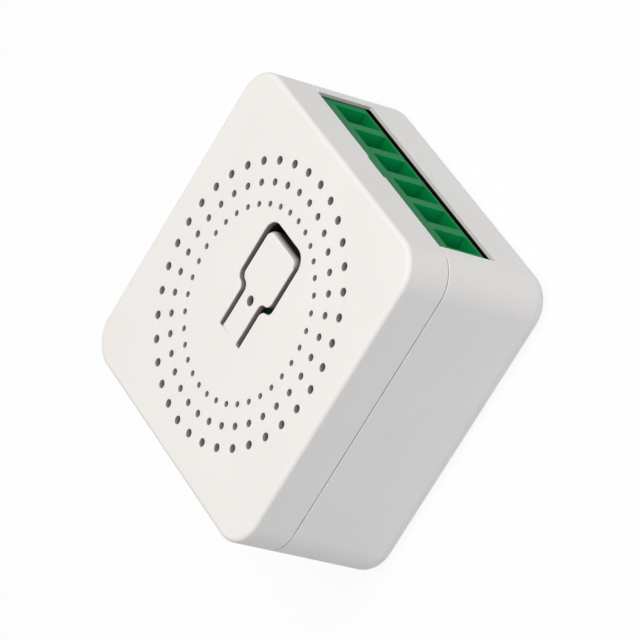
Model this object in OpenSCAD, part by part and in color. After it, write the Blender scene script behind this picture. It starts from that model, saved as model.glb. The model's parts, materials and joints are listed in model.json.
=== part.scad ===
// Smart relay module: a snap-together housing with a button tongue in its vented face,
// a screw terminal block in its side window, and a board with a relay inside.
// Lengths in millimetres. Origin at the centre of the rear face, +Z out of the front face,
// wire entries towards -Y.

/* [Housing] */
// Side of the square body
body_w = 40.5; // [40:0.1:46]
// Thickness of the module, from the rear face to the front face
body_h = 20.8; // [20.2:0.1:24]
// Radius of the four upright corners
corner_r = 4.2; // [3.4:0.1:4.6]
// Rounding of the front edge
face_edge_r = 0.6; // [0.3:0.05:0.9]
// Rounding of the rear edge
back_edge_r = 2.2; // [1.6:0.1:2.6]
// Thickness of the side walls
wall = 1.4; // [1.3:0.05:1.6]
// Thickness of the front face
face_t = 1.5; // [1.2:0.05:1.8]
// Thickness of the rear floor
floor_t = 1.5; // [1.2:0.05:1.8]
// Height of the front cover, from the face to the parting line
cover_h = 5.7; // [5.3:0.1:6.2]
// Width of the parting line
seam = 0.12; // [0.05:0.01:0.3]

/* [Snap fit] */
// Thickness of the shell's lip inside the cover
lip_t = 0.6; // [0.5:0.05:0.7]
// Height of the lip above the parting line
lip_h = 1.4; // [1.2:0.1:1.8]
// Clearance between the lip and the cover
lip_gap = 0.1; // [0.05:0.01:0.15]
// Radius of the snap beads on the lip
bead_r = 0.4; // [0.3:0.05:0.45]
// How far a snap bead stands out of the lip
bead_out = 0.22; // [0.15:0.01:0.25]
// Length of a snap bead
bead_l = 5; // [3:0.5:7]
// Distance of a snap bead from the middle of its side
bead_x = 8; // [6:0.5:10]
// Width of the pry notch over the terminals
pry_w = 4.3; // [3:0.1:6]
// Height of the pry notch
pry_h = 0.35; // [0.2:0.05:0.6]

/* [Vents] */
// Number of vent rings
vent_rings = 3; // [1:1:3]
// Holes in each vent ring
vent_count = 36; // [24:1:40]
// Radius of the innermost vent ring
vent_r = 11.35; // [10.8:0.05:11.8]
// Distance from one vent ring to the next
vent_step = 2.48; // [2:0.02:2.6]
// Hole diameter in the innermost ring
vent_d = 0.7; // [0.5:0.05:0.9]
// Growth of the hole diameter from ring to ring
vent_d_step = 0.15; // [0:0.01:0.2]

/* [Button] */
// Width of the tongue's neck
neck_w = 3.5; // [3:0.1:4]
// Width of the tongue's pad
pad_w = 6.8; // [6.2:0.1:7.2]
// Distance from the face's centre to the tongue's root
root_y = 4.4; // [3.6:0.1:5]
// Distance from the face's centre to the tongue's tip
tip_y = 8.2; // [7.6:0.1:8.6]
// Distance from the face's centre to the start of the flare
flare_y = 0.5; // [0.2:0.1:0.8]
// Length of the flare from neck to pad
flare_l = 1.9; // [1.8:0.1:2.4]
// Corner radius at the tongue's tip
tip_r = 1; // [0.5:0.1:1.4]
// Width of the slot beside the tongue
slot_w = 0.8; // [0.7:0.05:1]
// Width of the slot past the tongue's tip
tip_gap = 1; // [0.7:0.05:1.2]
// Distance of the slot's flare behind the tongue's flare
flare_shift = 0.45; // [0.3:0.05:0.6]
// Radius of the thinned groove under the tongue's root
hinge_r = 0.6; // [0.4:0.05:0.8]
// Diameter of the light hole
light_d = 1.2; // [0.8:0.1:1.6]
// Distance of the light hole from the face's centre
light_y = 0.4; // [0.2:0.1:0.6]
// Diameter of the pusher under the pad
pusher_d = 2.4; // [1.6:0.1:3]
// Gap between the pusher and the switch at rest
pusher_gap = 0.05; // [0.03:0.01:0.1]

/* [Push switch] */
// Side of the push switch's square body
switch_w = 5.2; // [5:0.1:6]
// Height of the push switch's body
switch_h = 1.9; // [1.6:0.1:2.2]
// Thickness of the switch's metal frame
switch_frame_t = 0.2; // [0.15:0.05:0.3]
// Diameter of the switch's plunger
plunger_d = 3.4; // [3:0.1:3.8]
// Height of the plunger above the frame
plunger_out = 0.45; // [0.35:0.05:0.6]
// Width of the plunger's skirt, held under the frame
skirt_w = 0.4; // [0.3:0.05:0.5]
// Height of the plunger's skirt
skirt_h = 0.6; // [0.4:0.05:0.7]
// Distance of the switch from the face's centre
switch_y = 5.3; // [5:0.1:5.6]

/* [Board] */
// Space between the board and the front face
board_room = 3.4; // [3.2:0.1:3.8]
// Thickness of the board
board_t = 1.6; // [1:0.1:1.8]
// Gap between the board's edge and the walls
board_gap = 0.35; // [0.2:0.05:0.5]
// Depth of the ribs that carry the board
rib_d = 1.2; // [1:0.1:1.4]
// Width of the ribs that carry the board
rib_w = 2.4; // [1.6:0.1:3]
// Distance of the far wall's ribs from the middle
rib_x = 9; // [6:0.5:11]
// Distance of the side ribs near the terminals from the middle
rib_y = 12; // [10:0.5:13]
// Distance of the other side ribs from the middle
rib_far_y = 2; // [0:0.5:4]
// Diameter of the cover's posts that hold the board down
post_d = 2.2; // [1.6:0.1:2.6]
// Gap between neighbouring parts on the board
part_gap = 0.5; // [0.3:0.05:0.6]
// Diameter of the round leads
lead_d = 0.6; // [0.5:0.05:0.8]
// How far leads stand out of the board
lead_out = 0.6; // [0.4:0.1:1]
// Clearance around leads in the board
lead_gap = 0.1; // [0.05:0.01:0.2]
// Width of the solder around a lead
solder_w = 0.35; // [0.3:0.05:0.45]

/* [Terminals] */
// Number of terminals
poles = 6; // [2:1:6]
// Distance from one terminal to the next
pitch = 5; // [4.9:0.02:5.08]
// Width of a wire entry
entry_w = 3.6; // [3.3:0.1:3.8]
// Height of a wire entry
entry_h = 4.7; // [4.2:0.1:4.8]
// Depth of a wire entry, down to the clamp
entry_d = 2.5; // [2.2:0.1:3]
// Distance of the wire entries from the board
entry_drop = 1.3; // [1.2:0.1:1.6]
// Height of the sill past the wire entries
sill = 0.45; // [0.3:0.05:0.6]
// Thickness added at each end of the block
end_wall = 0.4; // [0.3:0.05:0.5]
// Depth of the block, from its nose to its back
block_d = 9.7; // [9.4:0.1:10.4]
// Distance of the block's nose behind the housing's side
nose_recess = 0.4; // [0.25:0.05:0.5]
// Clearance beside the nose in the window
nose_gap = 0.1; // [0.1:0.05:0.3]
// Gap past the sill in the window
window_gap = 0.8; // [0.5:0.05:1]
// Wall left around the window
window_lip = 0.4; // [0.35:0.05:0.6]
// Width of the thinned band around the window
window_band = 1; // [0.6:0.1:1.2]
// Gap between the block and the housing behind it
block_gap = 0.5; // [0.4:0.05:0.6]

/* [Clamps] */
// Depth of a clamp cage along the wire
cage_d = 5.3; // [5:0.1:5.6]
// Width of a clamp cage
cage_w = 3.9; // [3.8:0.05:4]
// Thickness of a cage's side walls
cage_t = 0.6; // [0.5:0.05:0.65]
// Thickness of a cage's threaded wall
nut_t = 1; // [0.8:0.05:1.1]
// Running clearance of the cage, the bar and the screw
clamp_gap = 0.1; // [0.08:0.01:0.12]
// Thickness of a terminal bar
bar_t = 0.8; // [0.6:0.05:0.9]
// Height of a terminal bar above the entry's edge
bar_lift = 0.9; // [0.7:0.05:1]
// Width of a solder pin
pin_w = 1.2; // [1:0.05:1.3]
// Diameter of a terminal screw's head
head_d = 3.8; // [3.4:0.1:3.9]
// Height of a terminal screw's head
head_h = 1.2; // [1:0.1:1.3]
// Thickness of the ledge under a screw's head
ledge_t = 0.5; // [0.4:0.05:0.6]
// Diameter of a screwdriver hole in the rear face
access_d = 4; // [3.8:0.1:4.2]

/* [Relay] */
// Width of the relay
relay_w = 10.1; // [9.6:0.1:10.2]
// Gap between the relay and the rear floor
relay_gap = 0.5; // [0.3:0.05:0.6]
// Wall of the relay's case
case_t = 0.6; // [0.5:0.05:0.7]
// Thickness of the relay's base
base_t = 1.6; // [1.4:0.1:1.7]
// Clearance between pieces inside the relay
relay_fit = 0.1; // [0.08:0.01:0.12]
// Radius of the coil's core
core_r = 1.65; // [1.4:0.05:1.7]
// Thickness of the yoke and the armature
yoke_t = 0.9; // [0.8:0.05:1]
// Thickness of the bobbin's flanges
flange_t = 0.7; // [0.5:0.05:0.8]
// Length of the relay's contact room
contact_room = 9.7; // [9.2:0.1:10.2]
// Width of the yoke and the armature
yoke_w = 6.4; // [5.6:0.1:7]
// Length of the card between the armature and the contact spring
card_l = 2.6; // [2.2:0.1:2.8]
// Radius of the card's nose
card_r = 0.45; // [0.4:0.05:0.5]
// How far the armature stands open at rest, in degrees
armature_open = 5; // [4:0.1:5]
// Thickness of the contact spring
leaf_t = 0.25; // [0.2:0.01:0.3]
// Width of the contact spring
leaf_w = 4; // [3.6:0.1:4.4]
// Radius of the contacts
contact_r = 1.1; // [0.9:0.05:1.2]
// Height of the contacts
rivet_t = 0.35; // [0.3:0.01:0.4]
// Gap between the contacts at rest
contact_gap = 0.53; // [0.5:0.01:0.6]
// Distance between the relay's pins
relay_pitch = 5; // [4.6:0.1:5.2]

/* [Board parts] */
// Gap between the bulk capacitors and the rear floor
bulk_gap = 1.3; // [0.8:0.1:2]
// Distance between the bulk capacitors' leads
bulk_pitch = 3.5; // [3:0.1:4]
// Diameter of the output capacitor
output_d = 6.3; // [5:0.1:6.4]
// Gap between the output capacitor and the rear floor
output_gap = 1.8; // [0.8:0.1:3]
// Distance between the output capacitor's leads
output_pitch = 2.5; // [2:0.1:3]
// Length of the transformer's core
core_l = 10.6; // [10:0.1:10.8]
// Gap between the transformer's core and the rear floor
core_gap = 2.6; // [2:0.1:3.2]
// Depth of the transformer's core
core_w = 5; // [4.6:0.1:5.4]
// Thickness of the transformer core's outer walls
yoke_h = 1.6; // [1.4:0.1:1.8]
// Thickness of the transformer's pin rail
rail_t = 1.2; // [1:0.1:1.4]
// Width of the transformer's pin rail
rail_w = 8.4; // [8:0.1:9]
// Length of the bridge rectifier
bridge_l = 4.8; // [4.4:0.1:5]
// Width of the bridge rectifier
bridge_w = 3.9; // [3.6:0.1:4.2]
// Height of the bridge rectifier
bridge_h = 2.4; // [2:0.1:2.6]
// Length of the supply chip
chip_l = 5; // [4.6:0.1:5.2]
// Width of the supply chip
chip_w = 3.9; // [3.6:0.1:4.1]
// Height of the supply chip
chip_h = 1.5; // [1.2:0.1:1.7]
// Legs along each side of the bridge rectifier
bridge_legs = 2; // [2:1:2]
// Legs along each side of the supply chip
chip_legs = 4; // [3:1:4]
// Width of a package's leg
leg_w = 0.4; // [0.3:0.05:0.5]
// Reach of a package's leg
leg_l = 0.9; // [0.8:0.05:1]
// Thickness of a package's leg
leg_t = 0.25; // [0.2:0.01:0.3]
// Diameter of the varistor
varistor_d = 7.4; // [6.6:0.1:7.6]
// Thickness of the varistor
varistor_t = 3.4; // [3:0.1:3.6]
// Distance between the varistor's leads
varistor_pitch = 5; // [4.6:0.1:5.4]
// Diameter of the fuse resistor
fuse_d = 3.4; // [3:0.1:3.6]
// Length of the fuse resistor
fuse_l = 8.4; // [8:0.1:8.6]
// Width of the radio board
radio_w = 12.2; // [11.8:0.1:12.4]
// Thickness of the radio board
radio_t = 0.8; // [0.6:0.05:0.9]
// Height of the radio board's shield can
shield_h = 1.9; // [1.6:0.1:2.1]
// Sheet thickness of the shield can
shield_t = 0.2; // [0.15:0.01:0.3]
// Length of the antenna's bends across the board
antenna_d = 2.4; // [2:0.1:2.8]
// Width of the antenna's trace
trace_w = 0.5; // [0.4:0.02:0.54]
// Thickness of the antenna's trace
trace_t = 0.1; // [0.06:0.01:0.14]
// Bends of the antenna
antenna_bends = 6; // [2:1:6]
// Length of the status light
light_l = 2; // [1.6:0.1:2.2]
// Width of the status light
light_w = 1.25; // [1:0.05:1.4]
// Height of the status light
light_h = 0.8; // [0.6:0.05:1]

/* [Hidden] */
$fn = 48;
cut = 0.5;                                  // how far cutting shapes run past a face
arc_steps = 10;                             // points along a bend of the tongue's outline

half = body_w / 2;
inner = half - wall;
inner_r = corner_r - wall;
under_z = body_h - face_t;
seam_z = body_h - cover_h;
board_front_z = under_z - board_room;
board_rear_z = board_front_z - board_t;
board_half = inner - board_gap;
rear_room = board_rear_z - floor_t;
side_room = rib_d + part_gap;               // free strip along the walls for the ribs

lip_outer = inner + lip_t;
bead_z = seam_z + lip_h / 2;
bead_at = lip_outer + bead_out - bead_r;    // axis of a snap bead, from the middle
rib_side = [rib_far_y, -rib_y];             // ribs along the left and right walls
rib_back = [-rib_x, rib_x];                 // ribs along the far wall
post_at = half - corner_r;

neck_half = neck_w / 2;
pad_half = pad_w / 2;
switch_top_z = board_front_z + switch_h + switch_frame_t;
plunger_z = switch_top_z + plunger_out;

function pole_x(i) = (i - (poles + 1) / 2) * pitch;
block_half = poles * pitch / 2 + end_wall;
entry_hi = board_rear_z - entry_drop;
entry_lo = entry_hi - entry_h;
nose_y = nose_recess - half;
nose_lo = entry_lo - sill;
nose_hi = seam_z - nose_gap;
window_half = block_half + nose_gap;
window_lo = nose_lo - window_gap;
block_front = block_gap - inner;
block_back = nose_y + block_d;
block_lo = floor_t + block_gap;

cavity_front = nose_y + entry_d;
cavity_back = cavity_front + cage_d + 2 * clamp_gap;
cavity_w = cage_w + 2 * clamp_gap;
screw_y = (cavity_front + cavity_back) / 2;
head_z = block_lo + clamp_gap;
head_top = head_z + head_h;
cavity_lo = head_top + ledge_t;
bar_hi = entry_lo + bar_lift;
bar_lo = bar_hi - bar_t;
nut_hi = bar_lo - clamp_gap;
cage_lo = nut_hi - nut_t;
cage_roof = entry_hi + clamp_gap;
cage_hi = cage_roof + cage_t;
cavity_hi = cage_hi;
bar_w = cage_w - 2 * cage_t - 2 * clamp_gap;
shank_d = bar_w;                            // the shank and the bar both pass between the cage's walls
pin_y = cavity_back + clamp_gap + bar_t / 2;
pin_drill = norm([pin_w, bar_t]) + 2 * lead_gap;
drive_w = head_d / 6;                       // width of the cross slot in a screw's head

relay_h = rear_room - relay_gap;
relay_l = 2 * inner - side_room - 3 * part_gap - output_d;
relay_at = [relay_l / 2 + 2 * part_gap - inner, inner - side_room - relay_w / 2];
relay_inner_l = relay_l - 2 * case_t - 2 * relay_fit;
relay_inner_w = relay_w - 2 * case_t - 2 * relay_fit;
yoke_z = base_t;                            // heights in the relay are measured from the board
flange_z = yoke_z + yoke_t;
flange_w = min(relay_inner_w, relay_h - case_t - relay_fit - flange_z);
coil_r = flange_w / 2 - flange_t;
coil_z = flange_z + flange_w / 2;
coil_x0 = 2 * relay_fit + yoke_t - relay_inner_l / 2;
coil_x1 = relay_inner_l / 2 - contact_room;
pole_x1 = coil_x1 + relay_fit + flange_t;   // face of the core's pole
hinge_x = pole_x1 + relay_fit;
hinge_z = yoke_z + yoke_t / 2;
card_z = coil_z + coil_r - flange_t;        // height of the card's nose
contact_z = coil_z;
axis_x = hinge_x + yoke_t / 2;              // axis of the armature's round end
nose_x = axis_x + (yoke_t / 2 + card_l) * cos(armature_open) + (card_z - hinge_z) * sin(armature_open);
leaf_x = nose_x + card_r + relay_fit;
leaf_z = base_t;
fixed_x = leaf_x - 2 * rivet_t - contact_gap - leaf_t / 2;
post_x = leaf_x + leaf_t + leaf_t / 2;
contact_pin_y = relay_pitch / 2;
coil_pin_x = coil_x0 + relay_pitch / 2;
tube_r = core_r + relay_fit + flange_t;     // radius of the bobbin's tube

bulk_d = (2 * inner - 2 * side_room - 5 * part_gap - bridge_l - core_l) / 2;
bulk_h = rear_room - bulk_gap;
output_h = rear_room - output_gap;
core_h = rear_room - rail_t - core_gap;
bulk_at = [
    for (i = [0, 1])
        [side_room + bulk_d / 2 + i * (bulk_d + part_gap) - inner,
         relay_at.y - relay_w / 2 - part_gap - bulk_d / 2]
];
output_at = [relay_at.x + relay_l / 2 + part_gap + output_d / 2, relay_at.y];
coil_body_r = core_l / 2 - yoke_h;          // radius of the transformer's winding
leg_r = coil_body_r / 2;                    // radius of the transformer core's middle leg
disc_z = yoke_h + relay_fit;                // height of the bobbin's disc in the core
transformer_at = [inner - side_room - core_l / 2, relay_at.y - relay_w / 2 - part_gap - rail_w / 2];
varistor_at = [bulk_at[0].x, bulk_at[0].y - bulk_d / 2 - part_gap - varistor_t / 2];
varistor_z = board_rear_z - part_gap - varistor_d / 2;
fuse_at = [transformer_at.x, transformer_at.y - rail_w / 2 - part_gap - fuse_d / 2];
fuse_z = board_rear_z - part_gap - fuse_d / 2;
bridge_at = [bulk_at[1].x + bulk_d / 2 + 2 * part_gap + bridge_l / 2, bulk_at[1].y];
chip_at = [bridge_at.x, block_back + 3 * part_gap + chip_w / 2];
lead_room = lead_d / 2 + lead_gap + solder_w + part_gap;    // free distance beside a round lead
pin_room = pin_drill / 2 + solder_w + part_gap;             // free distance beside a flat pin
radio_l = fixed_x - coil_pin_x - lead_room - pin_room;
radio_at = [relay_at.x + coil_pin_x + lead_room + radio_l / 2, board_half - part_gap - radio_w / 2];
shield_l = radio_l - 3 * part_gap;
shield_w = radio_w - antenna_d - 4 * part_gap;
antenna_step = (radio_l - 2 * part_gap - trace_w) / antenna_bends;

function pair(at, gap) = [for (s = [-1, 1]) [at.x + s * gap / 2, at.y]];
bulk_leads = [for (at = bulk_at) each pair(at, bulk_pitch)];
output_leads = pair(output_at, output_pitch);
varistor_leads = pair(varistor_at, varistor_pitch);
fuse_leads = pair(fuse_at, fuse_l + 2 * lead_d);
transformer_leads = [
    for (s = [-1, 1])
        each pair([transformer_at.x, transformer_at.y + s * (rail_w / 2 - lead_d)], core_l - 2 * lead_d)
];
coil_leads = [for (s = [-1, 1]) [relay_at.x + coil_pin_x, relay_at.y + s * contact_pin_y]];
round_leads = concat(bulk_leads, output_leads, varistor_leads, fuse_leads, transformer_leads, coil_leads);
flat_pins = concat(
    [for (i = [1:poles]) [pole_x(i), pin_y]],
    [[relay_at.x + fixed_x, relay_at.y - contact_pin_y], [relay_at.x + post_x, relay_at.y + contact_pin_y]]
);

screw_names = [for (i = [1:poles]) str("terminal_screw_", i)];
cage_names = [for (i = [1:poles]) str("clamp_cage_", i)];
bar_names = [for (i = [1:poles]) str("terminal_bar_", i)];

plastic_white = "WhiteSmoke";
steel = "Silver";
copper = "Peru";

// Square outline with round corners
module plan(side_half, r) {
    square([2 * side_half, 2 * (side_half - r)], center = true);
    square([2 * (side_half - r), 2 * side_half], center = true);
    for (x = [-1, 1], y = [-1, 1])
        translate([x, y] * (side_half - r)) circle(r);
}

// Straight prism over that outline
module prism(side_half, r, lo, hi) {
    translate([0, 0, lo]) linear_extrude(hi - lo) plan(side_half, r);
}

// Section from a corner's axis out to the side, with its outer edges rounded
module edge_section(r, lo, hi, lo_r, hi_r) {
    translate([0, lo + lo_r]) square([r, hi - lo - lo_r - hi_r]);
    translate([0, lo]) square([r - lo_r, hi - lo]);
    translate([0, lo + lo_r]) square([r - hi_r, hi - lo - lo_r]);
    for (edge = [[lo_r, lo + lo_r, -1], [hi_r, hi - hi_r, 0]])
        if (edge[0] > 0)
            translate([r - edge[0], edge[1]]) intersection() {
                circle(edge[0]);
                translate([0, edge[2] * edge[0]]) square(edge[0]);
            }
}

// Block over the square outline, with rounded lower and upper edges
module round_block(side_half, r, lo, hi, lo_r, hi_r) {
    c = side_half - r;
    translate([-c, -c, lo]) cube([2 * c, 2 * c, hi - lo]);
    for (k = [0:3]) rotate(90 * k) {
        translate([c, 0, 0]) rotate([90, 0, 0])
            linear_extrude(2 * c, center = true) edge_section(r, lo, hi, lo_r, hi_r);
        translate([c, c, 0]) rotate_extrude(angle = 90) edge_section(r, lo, hi, lo_r, hi_r);
    }
}

// Box between two corners
module span(low, high) {
    translate(low) cube(high - low);
}

// Box centred on X and Y, standing on Z
module stand(size) {
    translate([-size.x / 2, -size.y / 2, 0]) cube(size);
}

function arc(at, r, from, to) = [
    for (k = [0:arc_steps])
        let (a = from + (to - from) * k / arc_steps)
            [at.x + r * cos(a), at.y + r * sin(a)]
];

// Outline of the tongue, or of its slot: a neck that flares in two equal bends to a pad with a round tip
function tongue_side(neck, pad, flare, tip, corner) =
    let (
        widen = pad - neck,
        bend = (widen * widen + flare_l * flare_l) / (4 * widen),
        turn = atan2(-flare_l, widen - 2 * bend)
    )
    concat(
        [[neck, root_y]],
        arc([neck + bend, flare], bend, 180, 360 + turn),
        arc([pad - bend, flare - flare_l], bend, 180 + turn, 0),
        arc([pad - corner, tip + corner], corner, 0, -90)
    );

module tongue_plan(neck, pad, flare, tip, corner) {
    side = tongue_side(neck, pad, flare, tip, corner);
    polygon(concat(side, [for (k = [len(side) - 1:-1:0]) [-side[k].x, side[k].y]]));
}

module hinge_groove() {
    translate([-neck_half - slot_w, root_y, under_z]) rotate([0, 90, 0])
        cylinder(r = hinge_r, h = neck_w + 2 * slot_w);
}

// Snap beads along three sides: the terminal side has none
module snap_beads(r, l) {
    for (k = [0, 1, 2], s = [-1, 1])
        rotate(90 * k) translate([bead_at, s * bead_x, bead_z]) rotate([90, 0, 0])
            cylinder(r = r, h = l, center = true);
}

module vent_holes() {
    for (ring = [0:vent_rings - 1], k = [0:vent_count - 1])
        rotate(360 * k / vent_count) translate([vent_r + ring * vent_step, 0, under_z - cut])
            cylinder(d = vent_d + ring * vent_d_step, h = face_t + 2 * cut, $fn = 24);
}

module front_cover() color(plastic_white) difference() {
    union() {
        difference() {
            round_block(half, corner_r, seam_z, body_h, 0, face_edge_r);
            prism(inner, inner_r, seam_z - cut, under_z);
            prism(lip_outer + lip_gap, inner_r + lip_t + lip_gap, seam_z - cut, seam_z + lip_h + lip_gap);
        }
        for (x = [-1, 1], y = [-1, 1])
            translate([x * post_at, y * post_at, board_front_z]) cylinder(d = post_d, h = board_room + face_t / 2);
    }
    vent_holes();
    translate([0, 0, under_z - cut]) linear_extrude(face_t + 2 * cut)
        tongue_plan(neck_half + slot_w, pad_half + slot_w, flare_shift - flare_y, -tip_y - tip_gap, tip_r + slot_w);
    hinge_groove();
    snap_beads(bead_r + lip_gap, bead_l + 2 * lip_gap);
    span([-pry_w / 2, -half - cut, seam_z - cut], [pry_w / 2, cut - inner, seam_z + pry_h]);
}

module button_tongue() color(plastic_white) difference() {
    union() {
        translate([0, 0, under_z]) linear_extrude(face_t)
            tongue_plan(neck_half, pad_half, -flare_y, -tip_y, tip_r);
        translate([0, -switch_y, plunger_z + pusher_gap])
            cylinder(d = pusher_d, h = under_z + face_t / 2 - plunger_z - pusher_gap);
    }
    hinge_groove();
    translate([0, -light_y, under_z - cut]) cylinder(d = light_d, h = face_t + 2 * cut);
}

module board_ribs() {
    for (s = [-1, 1], y = rib_side)
        translate([s * (inner - rib_d / 2 + cut / 2), y, floor_t - cut])
            stand([rib_d + cut, rib_w, board_rear_z - floor_t + cut]);
    for (x = rib_back)
        translate([x, inner - rib_d / 2 + cut / 2, floor_t - cut])
            stand([rib_w, rib_d + cut, board_rear_z - floor_t + cut]);
}

module rear_shell() color(plastic_white) difference() {
    union() {
        difference() {
            union() {
                round_block(half, corner_r, 0, seam_z - seam, back_edge_r, 0);
                prism(lip_outer, inner_r + lip_t, seam_z - lip_h, seam_z + lip_h);
            }
            round_block(inner, inner_r, floor_t, seam_z + lip_h + cut, back_edge_r - wall, 0);
        }
        board_ribs();
        snap_beads(bead_r, bead_l);
    }
    span([-window_half, -half - cut, window_lo], [window_half, cut - inner, seam_z + lip_h + cut]);
    span(
        [-window_half - window_band, window_lip - half, window_lo - window_band],
        [window_half + window_band, cut - inner, seam_z + lip_h + cut]
    );
    for (i = [1:poles])
        translate([pole_x(i), screw_y, -cut]) cylinder(d = access_d, h = floor_t + 2 * cut);
}

module main_board() color("DarkGreen") difference() {
    prism(board_half, inner_r - board_gap, board_rear_z, board_front_z);
    for (p = round_leads)
        translate([p.x, p.y, board_rear_z - cut]) cylinder(d = lead_d + 2 * lead_gap, h = board_t + 2 * cut);
    for (p = flat_pins)
        translate([p.x, p.y, board_rear_z - cut]) cylinder(d = pin_drill, h = board_t + 2 * cut);
}

// Room in the block for one terminal: wire entry, cage, bar, pin and screw
module terminal_room() {
    span([-entry_w / 2, nose_y - cut, entry_lo], [entry_w / 2, cavity_front + cut, entry_hi]);
    span([-cavity_w / 2, cavity_front, cavity_lo], [cavity_w / 2, cavity_back, cavity_hi]);
    span(
        [-bar_w / 2 - clamp_gap, cavity_back - cut, bar_lo],
        [bar_w / 2 + clamp_gap, pin_y + bar_t / 2 + clamp_gap, bar_hi + clamp_gap]
    );
    span(
        [-pin_w / 2 - clamp_gap, pin_y - bar_t / 2 - clamp_gap, bar_lo],
        [pin_w / 2 + clamp_gap, pin_y + bar_t / 2 + clamp_gap, board_rear_z + cut]
    );
    translate([0, screw_y, head_top - cut]) cylinder(d = shank_d + 2 * clamp_gap, h = ledge_t + 2 * cut);
    translate([0, screw_y, block_lo - cut]) cylinder(d = head_d + 2 * clamp_gap, h = head_top - block_lo + cut);
}

module terminal_block() color("SeaGreen") difference() {
    union() {
        span([-block_half, block_front, block_lo], [block_half, block_back, board_rear_z]);
        span([-block_half, nose_y, nose_lo], [block_half, block_front + cut, board_rear_z]);
        span([-block_half, nose_y, board_rear_z - cut], [block_half, -board_half - nose_gap, nose_hi]);
    }
    for (i = [1:poles]) translate([pole_x(i), 0, 0]) terminal_room();
}

// Solder around a lead or pin on the front of the board
module solder(p, d) {
    translate([p.x, p.y, board_front_z]) cylinder(d1 = d + 2 * solder_w, d2 = d, h = lead_out / 2);
}

module terminal_bar(i) color(steel) {
    translate([pole_x(i), 0, 0]) {
        span([-bar_w / 2, cavity_front + clamp_gap, bar_lo], [bar_w / 2, pin_y + bar_t / 2, bar_hi]);
        span([-pin_w / 2, pin_y - bar_t / 2, bar_lo], [pin_w / 2, pin_y + bar_t / 2, board_front_z + lead_out]);
    }
    solder([pole_x(i), pin_y], pin_drill);
}

module terminal_screw(i) color(steel) translate([pole_x(i), screw_y, 0]) difference() {
    union() {
        translate([0, 0, head_z]) cylinder(d = head_d, h = head_h);
        translate([0, 0, head_z + head_h / 2]) cylinder(d = shank_d, h = nut_hi - head_z - head_h / 2);
    }
    for (turn = [0, 90]) rotate(turn)
        translate([0, 0, head_z - cut]) stand([head_d, drive_w, head_h / 2 + cut]);
}

module clamp_cage(i) color("Gainsboro") translate([pole_x(i), screw_y, 0]) difference() {
    translate([0, 0, cage_lo]) stand([cage_w, cage_d, cage_hi - cage_lo]);
    translate([0, 0, nut_hi]) stand([cage_w - 2 * cage_t, cage_d + 2 * cut, cage_roof - nut_hi]);
    translate([0, 0, cage_lo - cut]) cylinder(d = shank_d + clamp_gap, h = nut_t + 2 * cut);
}

module switch_body() color("DimGray") translate([0, -switch_y, board_front_z]) difference() {
    stand([switch_w, switch_w, switch_h]);
    translate([0, 0, switch_h / 3]) cylinder(d = plunger_d + 2 * skirt_w + 2 * lead_gap, h = switch_h);
}

module switch_frame() color(steel) translate([0, -switch_y, board_front_z + switch_h]) difference() {
    stand([switch_w, switch_w, switch_frame_t]);
    translate([0, 0, -cut]) cylinder(d = plunger_d + 2 * lead_gap, h = switch_frame_t + 2 * cut);
}

module switch_plunger() color("Black") translate([0, -switch_y, board_front_z + switch_h - skirt_h]) {
    cylinder(d = plunger_d, h = skirt_h + switch_frame_t + plunger_out);
    cylinder(d = plunger_d + 2 * skirt_w, h = skirt_h);
}

module status_light() color("LightCyan") translate([0, -light_y, board_front_z])
    stand([light_l, light_w, light_h]);

// Relay frame: origin where the relay meets the board, heights away from the board
module in_relay() {
    translate([relay_at.x, relay_at.y, board_rear_z]) mirror([0, 0, 1]) children();
}

// Rod along the relay
module relay_rod(x0, x1, r) {
    translate([x0, 0, coil_z]) rotate([0, 90, 0]) cylinder(r = r, h = x1 - x0);
}

module relay_case() color("SteelBlue") in_relay() difference() {
    stand([relay_l, relay_w, relay_h]);
    translate([0, 0, -cut]) stand([relay_l - 2 * case_t, relay_w - 2 * case_t, relay_h - case_t + cut]);
}

module relay_base() color("DarkSlateGray") in_relay() difference() {
    stand([relay_inner_l, relay_inner_w, base_t]);
    for (x_y = [[fixed_x, -contact_pin_y], [post_x, contact_pin_y]])
        translate([x_y[0], x_y[1], -cut]) stand([leaf_t + 2 * relay_fit, pin_w + 2 * relay_fit, base_t + 2 * cut]);
    for (s = [-1, 1])
        translate([coil_pin_x, s * contact_pin_y, -cut]) cylinder(d = lead_d + 2 * relay_fit, h = base_t + 2 * cut);
}

module relay_bobbin() color("Ivory") in_relay() difference() {
    union() {
        relay_rod(coil_x0, coil_x1, tube_r);
        for (x = [coil_x0, coil_x1 - flange_t])
            translate([x + flange_t / 2, 0, flange_z]) stand([flange_t, flange_w, flange_w]);
    }
    relay_rod(coil_x0 - cut, coil_x1 + cut, core_r + relay_fit / 2);
}

module relay_winding() color(copper) in_relay() difference() {
    relay_rod(coil_x0 + flange_t + relay_fit, coil_x1 - flange_t - relay_fit, coil_r);
    relay_rod(coil_x0, coil_x1, tube_r);
}

module relay_core() color(steel) in_relay() {
    relay_rod(coil_x0 - relay_fit - yoke_t / 2, pole_x1 - flange_t / 2, core_r);
    relay_rod(pole_x1 - flange_t, pole_x1, coil_r - flange_t);
    translate([coil_x0 - relay_fit - yoke_t / 2, 0, yoke_z]) stand([yoke_t, yoke_w, coil_z + core_r - yoke_z]);
    translate([(coil_x0 - relay_fit - yoke_t + pole_x1) / 2, 0, yoke_z])
        stand([pole_x1 - coil_x0 + relay_fit + yoke_t, yoke_w, yoke_t]);
}

// Armature frame: origin on the axis at the yoke's end, standing open at rest
module on_armature() {
    in_relay() translate([axis_x, 0, hinge_z]) rotate([0, armature_open, 0]) children();
}

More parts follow.
